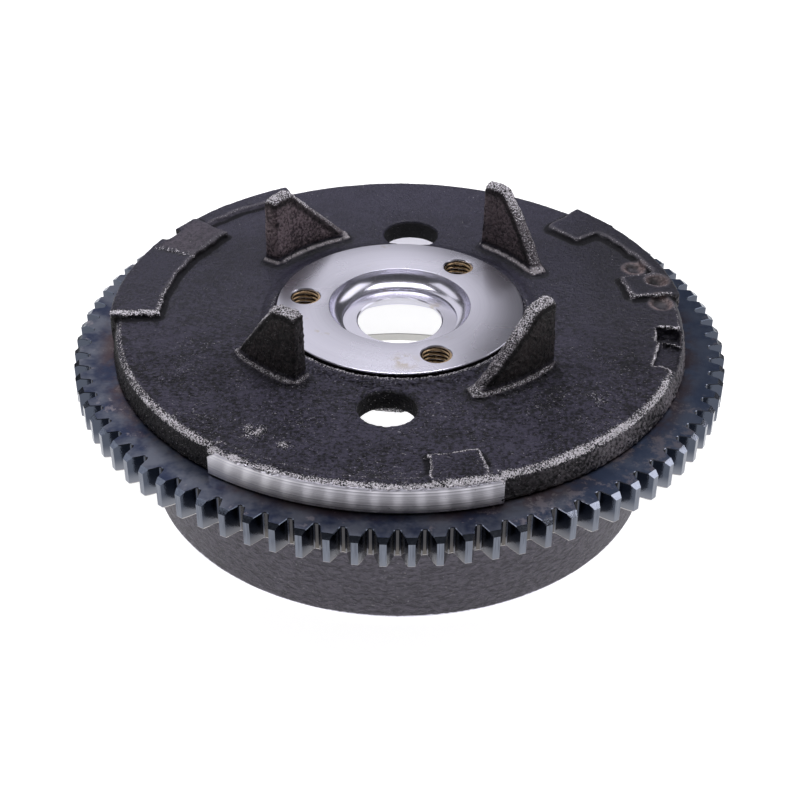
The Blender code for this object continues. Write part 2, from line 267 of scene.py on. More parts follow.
def sector_prism(name, inner, outer, start_deg, end_deg, bottom, top, step_deg=1.0):
    steps = max(1, round((end_deg - start_deg) / step_deg))
    angles = [start_deg + (end_deg - start_deg) * i / steps for i in range(steps + 1)]
    verts = []
    for angle in angles:
        verts += [polar(outer, angle, top), polar(outer, angle, bottom),
                  polar(inner, angle, bottom), polar(inner, angle, top)]
    return mesh_object(name, verts, bar_faces(steps, 4))


def lug_pad(tall_deg, tall_radius, low_deg, low_radius):
    """The low raised foot round one lug."""
    turn = math.copysign(1.0, low_deg - tall_deg)
    steps = 16
    verts = []
    for i in range(steps + 1):
        share = i / steps
        reach = math.degrees((2 * share - 1) * PAD_MARGIN / tall_radius) * turn
        angle = tall_deg + (low_deg - tall_deg) * share + reach
        radius = tall_radius + (low_radius - tall_radius) * share
        half = (LUG_THICK + (LUG_THIN - LUG_THICK) * share) / 2 + PAD_MARGIN
        half *= min(1.0, 0.75 + 2.5 * min(share, 1 - share))
        low, high = PLATE_TOP - 3 * MM, PLATE_TOP + PAD_HEIGHT
        verts += [polar(radius + half, angle, high), polar(radius + half, angle, low),
                  polar(radius - half, angle, low), polar(radius - half, angle, high)]
    faces = bar_faces(steps, 4)
    if turn < 0:
        faces = [face[::-1] for face in faces]
    return mesh_object("lug_pad", verts, faces)


def rough_casting():
    mesh = frame["nodes"]["flywheel_casting"].data.copy()
    made = bpy.data.objects.new("iron_casting", mesh)
    bpy.context.scene.collection.objects.link(made)
    bm = bmesh.new()
    bm.from_mesh(mesh)
    bmesh.ops.remove_doubles(bm, verts=bm.verts, dist=1e-6)
    bm.to_mesh(mesh)
    bm.free()
    band = sector_prism("cut_band", BAND_RADIUS - 0.5 * MM, CUT_OUT, BAND_FROM_DEG + 0.3,
                        BAND_TO_DEG - 0.3, GEAR_TOP - 0.5 * MM, 70 * MM)
    cut_all(made, [lug_pad(*lug) for lug in LUGS], "UNION")
    cut_all(made, casting_core_cutter() + [band])
    remesh = made.modifiers.new("skin", "REMESH")
    remesh.mode = "VOXEL"
    remesh.voxel_size = VOXEL
    remesh.use_smooth_shade = True
    apply_modifiers(made)
    weather(made.data)
    return made


# Chance marks of the casting: radius, angle, width, rise (a pit where negative), brightness
MARKS = (
    (91.6 * MM, 128.2, 2.0 * MM, -1.6 * MM, 0.0),
    (64.6 * MM, 68.5, 3.0 * MM, 0.55 * MM, 0.35),
    (82.6 * MM, 246.1, 3.4 * MM, 0.7 * MM, 1.0),
    (80.2 * MM, 237.6, 5.0 * MM, 0.3 * MM, 0.75),
    (86.4 * MM, 247.6, 2.4 * MM, -0.8 * MM, 0.0),
    (78.2 * MM, 320.0, 6.0 * MM, 0.2 * MM, 0.35),
)

# Balance drillings in the rim: radius from the axis, angle
DRILLINGS = ((86.1 * MM, 19.6), (89.5 * MM, 11.6), (87.7 * MM, 3.7))
DRILLING_RADIUS = 4.1 * MM
WEB_HOLE_RADIUS = 9.0 * MM
SOFT_LEDGE_DEG = 52           # middle of the rear right ledge, whose outline is the softest
BLOCK_DEG = 26                # middle of the ledge beside the drillings
END_STEP_DEG = 183.5          # where the left ledge ends
HIGH_STEP_DEG = 156.6         # where the left ledge rises


def rim_wear(radius, degrees, height, wander):
    """How worn the rim's top edge is, along the stretches without a ledge."""
    wide = 1.2 * MM + 0.8 * MM * ramp(degrees, 195, 225) + 0.4 * MM * ramp(np.abs(degrees - 312), 22, 6)
    wide = wide + wander * 0.7 * MM
    strip = ramp(radius, RIM_EDGE_RADIUS - wide - 0.9 * MM, RIM_EDGE_RADIUS - wide + 1.5 * MM)
    strip *= ramp(height, PLATE_TOP - 1.9 * MM, PLATE_TOP - 1.1 * MM)
    left = ramp(degrees, 184.0, 186.0) * (0.45 + 0.55 * ramp(degrees, 198, 218)) * (degrees < BAND_FROM_DEG)
    right = (degrees > BAND_TO_DEG) * (1 - 0.75 * ramp(degrees, 332, 339)) * (1 - ramp(degrees, 352, 358))
    on_band = (degrees >= BAND_FROM_DEG) * (degrees <= BAND_TO_DEG)
    outward = radius + wander * 0.8 * MM
    band_strip = ramp(outward, BAND_RADIUS - 3.6 * MM, BAND_RADIUS - 1.5 * MM)
    band_strip *= ramp(height, PLATE_TOP - 1.2 * MM, PLATE_TOP - 0.5 * MM)
    return np.maximum(strip * (left + right), band_strip * on_band)


def weather(mesh):
    """Rounds the edges, roughens the skin and marks where it is worn bright, brown or in shadow."""
    near = Neighbours(mesh)
    points = points_of(mesh)
    # the CAD's facets become round again
    facet = math.radians(360 / CAD_FACETS)
    angle = np.arctan2(points[:, 1], points[:, 0])
    off = np.mod(angle, facet) - facet / 2
    points[:, :2] *= (np.cos(off) / math.cos(facet / 2))[:, None]
    points = near.smooth(points, 5)
    # the pattern was made by hand: the ledges' outlines wander
    radius = np.hypot(points[:, 0], points[:, 1])
    loose = ramp(radius, 68 * MM, 74 * MM) * (1 - ramp(radius, 89 * MM, 92.5 * MM))
    loose *= ramp(points[:, 2], PLATE_TOP - 4 * MM, PLATE_TOP - 3 * MM)
    points[:, 0] += lumps(points, 7 * MM, 2, 3.1) * loose * 0.9 * MM
    points[:, 1] += lumps(points, 7 * MM, 2, 11.9) * loose * 0.9 * MM
    soft = loose * ramp(np.abs(np.degrees(angle) - SOFT_LEDGE_DEG), 24, 21)
    points += (near.smooth(points, 9) - points) * soft[:, None]
    tall = ramp(points[:, 2], PLATE_TOP + 1.8 * MM, PLATE_TOP + 4 * MM)[:, None]
    points += (near.smooth(points, 16) - points) * tall
    set_points(mesh, points)
    normals = normals_of(mesh)

    degrees = np.mod(np.degrees(angle), 360)
    radius = np.hypot(points[:, 0], points[:, 1])
    height = points[:, 2]
    up = normals[:, 2]
    bend = near.smooth(-((near.mean(points) - points) * normals).sum(1) / VOXEL, 2)
    convex = ramp(bend, 0.010, 0.045)
    hollow = ramp(-bend, 0.008, 0.035)

    front = ramp(-np.sin(np.radians(degrees)), -0.45, 0.3)
    top_side = ramp(height, PLATE_TOP - 2.5 * MM, PLATE_TOP - 0.5 * MM)
    lug = ramp(height, PLATE_TOP + 2.6 * MM, PLATE_TOP + 4.0 * MM)
    lug_top = lug * ramp(up, 0.22, 0.5)
    on_ledge = ramp(radius, 76 * MM, 77 * MM)
    foot = ramp(radius, 42.5 * MM, 44 * MM) * (1 - ramp(radius, 64 * MM, 65 * MM)) * (1 - lug)
    peak = ramp(height, PLATE_TOP + 14 * MM, PLATE_TOP + 20 * MM)
    edges = convex * top_side
    ledge_wall = on_ledge * (1 - ramp(radius, 91 * MM, 92 * MM)) * ramp(0.8 - up, 0, 0.3)
    ledge_wall *= ramp(height, PLATE_TOP + 0.2 * MM, PLATE_TOP + 0.7 * MM)
    pale = ledge_wall * (degrees > 117) * (degrees < 142)
    pad_edge = foot * ramp(height, PLATE_TOP + 0.8 * MM, PLATE_TOP + 1.2 * MM) * ramp(up, 0.35, 0.65)
    end_step = on_ledge * (np.abs(degrees - END_STEP_DEG) < 0.7) * (height > PLATE_TOP + 1 * MM)
    high_step = on_ledge * (np.abs(degrees - HIGH_STEP_DEG) < 0.55) * (height > PLATE_TOP + 1 * MM)
    wander = lumps(points, 3.5 * MM, 2, 5.9)
    rim = rim_wear(radius, degrees, height, wander) * (0.86 + 0.3 * wander)
    hub_edge = front * ramp(radius, 41 * MM, 41.6 * MM) * (1 - ramp(radius, 42.4 * MM, 43.4 * MM))
    marks = np.zeros(len(points))
    rise = np.zeros(len(points))
    # a low lip round the hub
    lip = ramp(radius, 41.2 * MM, 42.0 * MM) * (1 - ramp(radius, 43.2 * MM, 46.5 * MM))
    rise += lip * top_side * ramp(up, 0.4, 0.8) * (0.8 + 0.9 * front) * MM
    # the balance drillings, and the walls of the web holes
    drilled, drill_shade = np.zeros(len(points)), np.zeros(len(points))
    for drill_r, drill_deg in DRILLINGS:
        x, y, _ = polar(drill_r, drill_deg)
        away = np.hypot(points[:, 0] - x, points[:, 1] - y)
        drilled = np.maximum(drilled, 1 - ramp(away, DRILLING_RADIUS - 0.5 * MM, DRILLING_RADIUS + 0.7 * MM))
        # painted shade: a dark spot offset to the rear left of each drilling stands for the shaded side of
        # its pit
        shade_away = np.hypot(points[:, 0] - x + 0.9 * MM, points[:, 1] - y - 1.1 * MM)
        drill_shade = np.maximum(drill_shade, 1 - ramp(shade_away, 0.8 * MM, 3.6 * MM))
    drilled *= top_side
    attribute(mesh, "drilled", drilled)
    attribute(mesh, "drill_shade", drill_shade)
    # painted shade: the web holes' walls below the plate top
    hole = np.zeros(len(points))
    for name, (low, high) in OPENINGS.items():
        if name.startswith("web_hole"):
            away = np.hypot(points[:, 0] - (low[0] + high[0]) / 2, points[:, 1] - (low[1] + high[1]) / 2)
            hole = np.maximum(hole, 1 - ramp(away, WEB_HOLE_RADIUS + 0.8 * MM, WEB_HOLE_RADIUS + 1.6 * MM))
    hole *= 1 - ramp(height, PLATE_TOP - 1.2 * MM, PLATE_TOP - 0.5 * MM)
    # chance marks
    for mark_r, mark_deg, width, depth, bright in MARKS:
        x, y, _ = polar(mark_r, mark_deg)
        near_mark = np.exp(-((points[:, 0] - x) ** 2 + (points[:, 1] - y) ** 2) / (width / 2) ** 2 / 2)
        near_mark *= top_side * np.clip(0.75 + 1.5 * wander, 0, 1.15)
        rise += near_mark * depth
        marks = np.maximum(marks, near_mark * bright)
        hollow = np.maximum(hollow, near_mark * (depth < 0))
    # what the material reads
    lug_edge = lug * ramp(bend, 0.02, 0.08) * ramp(up, 0.3, 0.5)
    ledge_edge = edges * on_ledge * (radius < 92 * MM)
    # edge: the ledges' top edges and the drillings' rims, drawn pale, partly wear and partly a painted
    # highlight
    attribute(mesh, "edge", near.smooth(np.maximum(ledge_edge, drilled * (1 - drilled) * 4), 1))
    attribute(mesh, "pale", near.smooth(pale, 1))
    attribute(mesh, "pad", near.smooth(pad_edge, 1))
    wear = np.maximum.reduce([ledge_edge * (0.2 + 0.7 * front), pad_edge * (0.35 + 0.3 * front),
                              end_step * 0.8, high_step * 0.35, rim, hub_edge * 0.6, marks,
                              lug_edge * (0.25 + 0.5 * peak), lug_top * (0.28 + 0.5 * peak)])
    wear = near.smooth(wear, 1)
    attribute(mesh, "wear", wear)
    attribute(mesh, "lug", lug)
    attribute(mesh, "lug_top", near.smooth(lug_top, 1))
    # the rim's wall, which the material darkens with painted shade
    wall = ramp(radius, RIM_EDGE_RADIUS - 1.5 * MM, RIM_EDGE_RADIUS) * ramp(0.5 - up, 0, 0.4)
    wall *= ramp(height, GEAR_TOP - 1 * MM, GEAR_TOP)
    attribute(mesh, "wall", wall)
    # painted shade: lines beside the lug ridges, the ledge walls, hollows and the web holes' walls, spread a
    # little onto the plate
    lug_line = lug * ramp(up, 0.0, 0.08) * (1 - ramp(up, 0.28, 0.46))
    dark_wall = (ledge_wall - pale) * (1 - ramp(np.abs(degrees - BLOCK_DEG), 11, 9) * 0.5)
    crease = np.maximum.reduce([hollow * top_side, lug_line * 0.9, dark_wall * 0.9]) * (1 - drilled)
    on_band = (degrees > BAND_FROM_DEG - 1) * (degrees < BAND_TO_DEG + 1) * ramp(radius, 88 * MM, 89 * MM)
    crease = np.maximum(crease * (1 - pale) * (1 - on_band) * (1 - 0.45 * foot), hole)
    attribute(mesh, "crease", np.clip(near.smooth(crease, 2) * 1.4, 0, 1))

    # the sand's relief
    skirt = 1 - ramp(height, 36 * MM, 44 * MM)
    coarse = 0.05 + 0.08 * front * (1 - skirt) + 0.10 * lug + 0.24 * wall
    grain = lumps(points, 1.2 * MM, 3) * coarse
    wave = lumps(points, 14 * MM, 2, 7.3) * 0.10
    crumbs = lumps(points, 1.0 * MM, 3, 21.7) * 0.42 * wear
    offset = (grain + wave + crumbs) * MM + rise
    set_points(mesh, points + normals * offset[:, None])


# ---- turned pieces -------------------------------------------------------------------------
def bolt_centres():
    boxes = [box for name, box in sorted(OPENINGS.items()) if name.startswith("bolt_hole")]
    return [((low[0] + high[0]) / 2, (low[1] + high[1]) / 2) for low, high in boxes]


def moved(made, x, y):
    made.data.transform(Matrix.Translation((x, y, 0)))
    return made


def turned_hub():
    edge = 0.35 * MM
    corner = 0.25 * MM
    fillet_r = STEP_RADIUS - 0.6 * MM
    fillet_z = RECESS_FLOOR + 5.68 * MM
    profile = arc(HUB_RADIUS - edge, HUB_TOP - edge, edge, 90, 0, 4)
    profile += [
        (HUB_RADIUS, PLATE_TOP + 0.2 * MM),
        (HUB_RADIUS - 0.5 * MM, PLATE_TOP - 0.3 * MM),
        (HUB_RADIUS - 0.5 * MM, PLATE_TOP - 2 * MM),
        (CORE_RADIUS + 0.4 * MM, PLATE_TOP - 3 * MM),
        (CORE_RADIUS + 0.4 * MM, HUB_BOTTOM + 0.4 * MM),
        (CORE_RADIUS, HUB_BOTTOM),
        (PILOT_RADIUS + 0.5 * MM, HUB_BOTTOM),
        (PILOT_RADIUS, HUB_BOTTOM + 0.5 * MM),
        (PILOT_RADIUS, RECESS_FLOOR - BORE_LIP),
        (BORE_RADIUS, RECESS_FLOOR - BORE_LIP),
        (BORE_RADIUS, RECESS_FLOOR - 0.3 * MM),
        (BORE_RADIUS + 0.4 * MM, RECESS_FLOOR),
        (STEP_RADIUS, RECESS_FLOOR),
        (STEP_RADIUS + 0.1 * MM, RECESS_FLOOR + 0.6 * MM),
    ]
    profile += arc(fillet_r, fillet_z, RECESS_ROUND, 280, 345, 14)
    profile += arc(RECESS_RADIUS + corner, HUB_TOP - corner, corner, 180, 90, 4)
    hub = lathe("turned_hub", profile, 256)
    cutters = []
    for x, y in bolt_centres():
        bore = lathe("tap_bore", [
            (THREAD_MAJOR + 1.2 * MM, HUB_TOP + 1 * MM),
            (THREAD_MAJOR + 0.15 * MM, HUB_TOP - 0.05 * MM),
            (THREAD_MAJOR - 0.1 * MM, HUB_TOP - 0.5 * MM),
            (THREAD_MAJOR - 0.1 * MM, 40 * MM),
            (0.01 * MM, 40 * MM),
            (0.01 * MM, HUB_TOP + 1 * MM),
        ], 48)
        cutters.append(moved(bore, x, y))
    cut_all(hub, cutters)
    shade(hub.data, 25)
    return hub


def thread_insert(index, x, y):
    """The thread of one tapped hole, as a sleeve with helical ridges."""
    top, bottom = HUB_TOP - 0.45 * MM, HUB_BOTTOM + 0.5 * MM
    around, rows = 48, round((top - bottom) / (THREAD_PITCH / 10))
    outer = THREAD_MAJOR + 0.3 * MM
    verts, faces, ridges = [], [], []
    for j in range(rows + 1):
        z = top + (bottom - top) * j / rows
        for i in range(around):
            phase = (z / THREAD_PITCH - i / around) % 1.0
            ridge = 1 - abs(2 * phase - 1)
            ridge = min(max((ridge - 0.12) / 0.76, 0), 1)
            angle = 2 * math.pi * i / around
            r = THREAD_MAJOR - 0.05 * MM - (THREAD_MAJOR - THREAD_MINOR) * ridge
            verts.append((r * math.cos(angle), r * math.sin(angle), z))
            ridges.append(ridge)
    base = len(verts)
    for z in (top, bottom):
        verts += [polar(outer, 360 * i / around, z) for i in range(around)]
    for i in range(around):
        n = (i + 1) % around
        for j in range(rows):
            a, b = j * around + i, j * around + n
            faces.append((a, a + around, b + around, b))
        low = rows * around
        faces.append((i, n, base + n, base + i))
        faces.append((low + n, low + i, base + around + i, base + around + n))
        faces.append((base + i, base + n, base + around + n, base + around + i))
    made = mesh_object(f"tapped_thread_{index}", verts, faces, 60)
    attribute(made.data, "ridge", np.array(ridges + [1.0] * (len(verts) - len(ridges))))
    return moved(made, x, y)


def turned_skirt():
    """The skirt's turned mouth and bore."""
    wall = 3.2 * MM
    shoulder = MAGNET_SHOULDER + 0.4 * MM
    top = WEB_BOTTOM - WEB_ROUND + 0.6 * MM
    return lathe("turned_skirt_bore", [
        (SKIRT_MOUTH_RADIUS - 0.1 * MM, 1.6 * MM),
        (SKIRT_MOUTH_RADIUS - 0.1 * MM, 1.0 * MM),
        (SKIRT_MOUTH_RADIUS - 1.0 * MM, 0.0),
        (SKIRT_BORE + 1.0 * MM, 0.0),
        (SKIRT_BORE, 1.0 * MM),
        (SKIRT_BORE, MAGNET_SHOULDER),
        (SKIRT_INNER_RADIUS + 0.3 * MM, MAGNET_SHOULDER),
        (SKIRT_INNER_RADIUS, MAGNET_SHOULDER + 0.3 * MM),
        (SKIRT_INNER_RADIUS, top),
        (SKIRT_INNER_RADIUS + wall, top),
        (SKIRT_INNER_RADIUS + wall, shoulder),
        (SKIRT_BORE + wall, shoulder),
        (SKIRT_BORE + wall, 1.6 * MM),
    ])


def turned_band():
    """The turned face on the front of the rim. Its upper edge is where the rough skin was cut."""
    steps, rows = 240, 6
    bottom = GEAR_TOP + 0.4 * MM
    inner = BAND_RADIUS - 2.0 * MM
    verts = []
    for i in range(steps + 1):
        angle = BAND_FROM_DEG + (BAND_TO_DEG - BAND_FROM_DEG) * i / steps
        chip = noise.fractal((i * 0.31, 2.7, 0.4), 1.0, 2.0, 3) * 0.35 * MM
        reach = math.radians(angle - BAND_FROM_DEG) * BAND_RADIUS
        top = BAND_TOP - 0.35 * MM + chip - max(0.0, 3.0 * MM - reach) * 0.75
        verts += [polar(inner, angle, top - 0.1 * MM), polar(BAND_RADIUS - 0.35 * MM, angle, top)]
        for j in range(rows + 1):
            z = top - 0.3 * MM + (bottom - top + 0.3 * MM) * j / rows
            verts.append(polar(BAND_RADIUS, angle, z))
        verts.append(polar(inner, angle, bottom))
    return mesh_object("turned_rim_band", verts, bar_faces(steps, rows + 4), 40)


# ---- ring gear -----------------------------------------------------------------------------
GEAR_TEETH = 84
FIRST_TOOTH_DEG = 237.76
TOOTH_DEPTH = 5.1 * MM
TOOTH_BASE = 6.0 * MM
TIP_LAND = 2.0 * MM
TIP_BEVEL = 1.5 * MM
TIP_DROP = 1.15 * MM
GEAR_INNER = 91.4 * MM


def tooth_outline(inset=0.0, tip_cut=0.0):
    """One tooth's half outline, tip first, as (radius, half width)."""
    root = GEAR_RADIUS - TOOTH_DEPTH
    tip = GEAR_RADIUS - tip_cut
    rows = []
    for share in (0.0, 0.25, 0.5, 0.75, 0.93):
        radius = tip + (root - tip) * share
        depth = (GEAR_RADIUS - radius) / TOOTH_DEPTH
        half = TIP_LAND / 2 + (TOOTH_BASE - TIP_LAND) / 2 * depth ** 0.85
        rows.append((radius, half - inset))
    rows.append((root - inset, TOOTH_BASE / 2 + 0.42 * MM - inset))
    return rows


def ring_gear():
    # height, inset of the flanks, cut of the tip
    levels = [
        (GEAR_BOTTOM, 0.25 * MM, 0.5 * MM),
        (GEAR_BOTTOM + 0.35 * MM, 0.0, 0.0),
        (GEAR_TOP - TIP_DROP, 0.0, 0.0),
        (GEAR_TOP - 0.2 * MM, 0.04 * MM, TIP_BEVEL),
        (GEAR_TOP, 0.24 * MM, TIP_BEVEL + 0.25 * MM),
    ]
    verts, faces, loops = [], [], []
    for z, inset, tip_cut in levels:
        half = tooth_outline(inset, tip_cut)
        loop = []
        for tooth in range(GEAR_TEETH):
            centre = FIRST_TOOTH_DEG + 360 / GEAR_TEETH * tooth
            sides = [(r, -w) for r, w in reversed(half)] + half
            for r, w in sides:
                loop.append(len(verts))
                verts.append(polar(r, centre + math.degrees(w / r), z))
        loops.append(loop)
    for z in (GEAR_TOP, GEAR_BOTTOM):
        loop = []
        source = loops[-1] if z == GEAR_TOP else loops[0]
        for index in source:
            x, y, _ = verts[index]
            scale = GEAR_INNER / math.hypot(x, y)
            loop.append(len(verts))
            verts.append((x * scale, y * scale, z))
        loops.append(loop)
    for low, high in zip(loops, loops[1:] + loops[:1]):
        for i in range(len(low)):
            j = (i + 1) % len(low)
            faces.append((low[i], low[j], high[j], high[i]))
    return mesh_object("starter_ring_gear", verts, faces, 28)


# ---- magnets and what holds them -----------------------------------------------------------
MAGNET_COUNT = 12
MAGNET_SPAN_DEG = 25.0
MAGNET_OUTER = 76.5 * MM
MAGNET_INNER = 70.0 * MM


def arc_magnet(index):
    centre = 360 / MAGNET_COUNT * index
    span = MAGNET_SPAN_DEG / 2
    made = sector_prism(f"arc_magnet_{index + 1:02d}", MAGNET_INNER, MAGNET_OUTER, centre - span,
                        centre + span, MAGNET_LOW.z, MAGNET_HIGH.z)
    bevel = made.modifiers.new("edges", "BEVEL")
    bevel.width = 0.5 * MM
    bevel.segments = 2
    bevel.limit_method = "ANGLE"
    bevel.angle_limit = math.radians(40)
    apply_modifiers(made)
    shade(made.data)
    return made


# ---- materials -----------------------------------------------------------------------------
class Look:
    """A material and short ways of adding nodes to it."""

    def __init__(self, name, **constants):
        self.material = bpy.data.materials.new(name)
        self.material.use_nodes = True
        self.tree = self.material.node_tree
        self.shader = self.tree.nodes["Principled BSDF"]
        for socket, value in constants.items():
            self.shader.inputs[socket.replace("_", " ")].default_value = value

    def feed(self, socket, value):
        """Links another node's output, or sets a constant."""
        if isinstance(value, bpy.types.NodeSocket):
            self.tree.links.new(value, socket)
        else:
            socket.default_value = value

    def node(self, kind, inputs=None, **settings):
        made = self.tree.nodes.new("ShaderNode" + kind)
        for name, value in settings.items():
            setattr(made, name, value)
        for name, value in (inputs or {}).items():
            self.feed(made.inputs[name], value)
        return made

    def maths(self, operation, first, second=0.0, third=0.0, clamp=False):
        made = self.node("Math", operation=operation, use_clamp=clamp)
        for socket, value in zip(made.inputs, (first, second, third)):
            self.feed(socket, value)
        return made.outputs[0]

    def band(self, value, low, high, to_low=0.0, to_high=1.0):
        """to_low where the value is low, to_high where it is high, smooth between. Low may be the larger."""
        made = self.node("MapRange", {"Value": value, "From Min": low, "From Max": high,
                                      "To Min": to_low, "To Max": to_high},
                         interpolation_type="SMOOTHSTEP")
        return made.outputs["Result"]

    def noise(self, vector, scale, detail=3.0, roughness=0.5):
        made = self.node("TexNoise", {"Vector": vector, "Scale": scale, "Detail": detail,
                                      "Roughness": roughness})
        return made.outputs["Fac"]

    def mix(self, share, first, second):
        """The first colour where share is 0, the second where it is 1."""
        made = self.node("Mix", data_type="RGBA")
        self.feed(made.inputs["Factor"], share)
        self.feed(made.inputs["A"], first)
        self.feed(made.inputs["B"], second)
        return made.outputs["Result"]

    def value(self, name):
        """One of the mesh's attributes."""
        return self.node("Attribute", attribute_name=name).outputs["Fac"]

    def bump(self, height, distance, normal=None, strength=1.0):
        made = self.node("Bump", {"Height": height, "Distance": distance, "Strength": strength})
        if normal is not None:
            self.feed(made.inputs["Normal"], normal)
        return made.outputs["Normal"]

    def set(self, **values):
        for name, value in values.items():
            self.feed(self.shader.inputs[name.replace("_", " ")], value)
        return self.material


def object_space(look):
    return look.node("TexCoord").outputs["Object"]


def separate(look, vector):
    """A place's x, y and z, and its distance from the axis."""
    parts = look.node("SeparateXYZ", {"Vector": vector}).outputs
    radius = look.maths("SQRT", look.maths("ADD", look.maths("MULTIPLY", parts[0], parts[0]),
                                           look.maths("MULTIPLY", parts[1], parts[1])))
    return parts, radius


def stretched(look, vector, x, y, z):
    return look.node("VectorMath", {0: vector, 1: (x, y, z)}, operation="MULTIPLY").outputs[0]


def cast_iron():
    look = Look("cast_iron_skin", Specular_IOR_Level=0.45)
    place = object_space(look)
    parts, radius = separate(look, place)
    wear, lug, crease = look.value("wear"), look.value("lug"), look.value("crease")
    front = look.band(parts[1], 30 * MM, -55 * MM)
    skirt = look.band(parts[2], 43 * MM, 39 * MM)

    grain = look.noise(place, 1000, 3, 0.6)
    blotch = look.noise(place, 60, 3, 0.6)
    drift = look.node("TexNoise", {"Vector": place, "Scale": 90, "Detail": 2}).outputs["Color"]
    bent = look.node("VectorMath", {0: drift, 1: (6 * MM, 6 * MM, 3 * MM), 2: place},
                     operation="MULTIPLY_ADD").outputs[0]
    flow = look.noise(stretched(look, bent, 0.55, 1.6, 1.0), 520, 3, 0.6)
    ripple = look.node("TexNoise", {"Vector": place, "Scale": 260, "Detail": 2}).outputs["Color"]
    curled = look.node("VectorMath", {0: ripple, 1: (3 * MM, 3 * MM, 2.4 * MM), 2: place},
                       operation="MULTIPLY_ADD").outputs[0]
    streak = look.noise(stretched(look, curled, 1.0, 1.0, 1.9), 430, 4, 0.62)

    # the web's skin, with more contrast towards the front
    tone = look.maths("ADD", look.maths("MULTIPLY", grain, 0.7), look.maths("MULTIPLY", blotch, 0.3))
    tone = look.band(tone, 0.41, 0.59)
    dark = look.mix(front, (0.0115, 0.0106, 0.0195, 1), (0.0025, 0.0022, 0.0052, 1))
    light = look.mix(front, (0.028, 0.0260, 0.0460, 1), (0.062, 0.0565, 0.0900, 1))
    colour = look.mix(tone, dark, light)
    # painted sheen: the web is drawn lighter towards the rear, for the glancing light of the rear lamp
    rear = look.band(parts[1], 35 * MM, 80 * MM)
    colour = look.mix(rear, colour, look.mix(tone, (0.026, 0.0240, 0.0420, 1), (0.044, 0.0410, 0.0680, 1)))
    side = look.band(parts[1], -55 * MM, -15 * MM)
    side = look.maths("MULTIPLY", look.band(parts[0], 45 * MM, 80 * MM), side)
    colour = look.mix(look.maths("MULTIPLY", side, 0.45), colour, (0.006, 0.0055, 0.0090, 1))
    # the lugs are browner, and those on the left rear pinker
    brown = look.mix(tone, look.mix(front, (0.034, 0.025, 0.027, 1), (0.002, 0.0016, 0.0016, 1)),
                     look.mix(front, (0.210, 0.158, 0.170, 1), (0.040, 0.030, 0.029, 1)))
    pink = look.maths("MULTIPLY", look.band(parts[0], -5 * MM, -25 * MM), look.band(front, 0.5, 0.1))
    brown = look.mix(pink, brown, look.mix(tone, (0.085, 0.062, 0.068, 1), (0.400, 0.305, 0.325, 1)))
    colour = look.mix(lug, colour, brown)
    # the rim's wall, the skirt and the drillings
    # painted shade: the rim's wall is drawn near black, and lighter on the right side
    right = look.band(look.maths("ARCTAN2", parts[1], parts[0]), -1.25, -0.75)
    right = look.maths("MULTIPLY", right, look.band(parts[1], 30 * MM, 0))
    wall = look.mix(tone, (0.003, 0.0028, 0.003, 1),
                    look.mix(right, (0.020, 0.017, 0.017, 1), (0.330, 0.300, 0.320, 1)))
    colour = look.mix(look.value("wall"), colour, wall)
    colour = look.mix(skirt, colour, look.mix(look.band(streak, 0.35, 0.65), (0.044, 0.039, 0.055, 1),
                                              (0.102, 0.091, 0.124, 1)))
    # the drillings are brown-pink, and each pit carries painted shade towards its rear left
    colour = look.mix(look.maths("MULTIPLY", look.value("drilled"), 0.85), colour,
                      look.mix(look.value("drill_shade"), look.mix(tone, (0.10, 0.070, 0.068, 1),
                                                            (0.32, 0.245, 0.235, 1)),
                               (0.006, 0.004, 0.004, 1)))
    # hollows, creases, ledge walls and the web holes' walls are darkened with painted shade; a stretch of
    # ledge wall, the edges and the lug feet are pale, the edges partly worn and partly a painted highlight
    colour = look.mix(look.maths("MULTIPLY", look.value("pale"), 0.8), colour, (0.16, 0.15, 0.19, 1))
    colour = look.mix(look.maths("MULTIPLY", crease, 0.85), colour, (0.002, 0.002, 0.0025, 1))
    colour = look.mix(look.maths("MULTIPLY", look.value("edge"), 0.55), colour, (0.115, 0.105, 0.120, 1))
    pad = look.maths("MULTIPLY", look.value("pad"), look.band(look.noise(place, 700, 2, 0.6), 0.32, 0.46))
    colour = look.mix(look.maths("MULTIPLY", pad, 0.8), colour, (0.56, 0.51, 0.52, 1))

    # bright crumbs along worn edges, and scattered specks that are painted glints of the grain
    crumb_noise = look.noise(place, 2100, 2, 0.65)
    crumb = look.band(look.maths("MULTIPLY_ADD", wear, 0.25, crumb_noise), 0.665, 0.695)
    crumb = look.maths("MULTIPLY", crumb, look.band(wear, 0.04, 0.3))
    cluster = look.maths("MULTIPLY", look.noise(place, 75, 3, 0.6), 0.22)
    speck_noise = look.noise(stretched(look, bent, 0.8, 1.3, 1.0), 1700, 2, 0.6)
    speck = look.maths("ADD", look.maths("MULTIPLY_ADD", front, 0.055, speck_noise), cluster)
    speck = look.maths("MULTIPLY", look.band(speck, 0.83, 0.88), look.band(skirt, 1, 0, 0.35, 1.0))
    speck = look.maths("MULTIPLY", speck, look.band(lug, 0, 1, 1.0, 0.5))
    pits = look.maths("MULTIPLY", look.band(wear, 0.25, 0.6), look.band(lug, 1.0, 0.0, 0.3, 0.85))
    colour = look.mix(pits, colour, (0.004, 0.004, 0.005, 1))
    ridge = look.mix(look.band(crumb_noise, 0.42, 0.58),
                     look.mix(front, (0.020, 0.018, 0.020, 1), (0.003, 0.003, 0.003, 1)),
                     look.mix(front, (0.26, 0.24, 0.26, 1), (0.42, 0.39, 0.42, 1)))
    colour = look.mix(look.maths("MULTIPLY", look.value("lug_top"), 0.8), colour, ridge)
    bright = look.maths("MAXIMUM", crumb, look.maths("MULTIPLY", speck, 0.55))
    colour = look.mix(bright, colour, (0.96, 0.92, 0.96, 1))
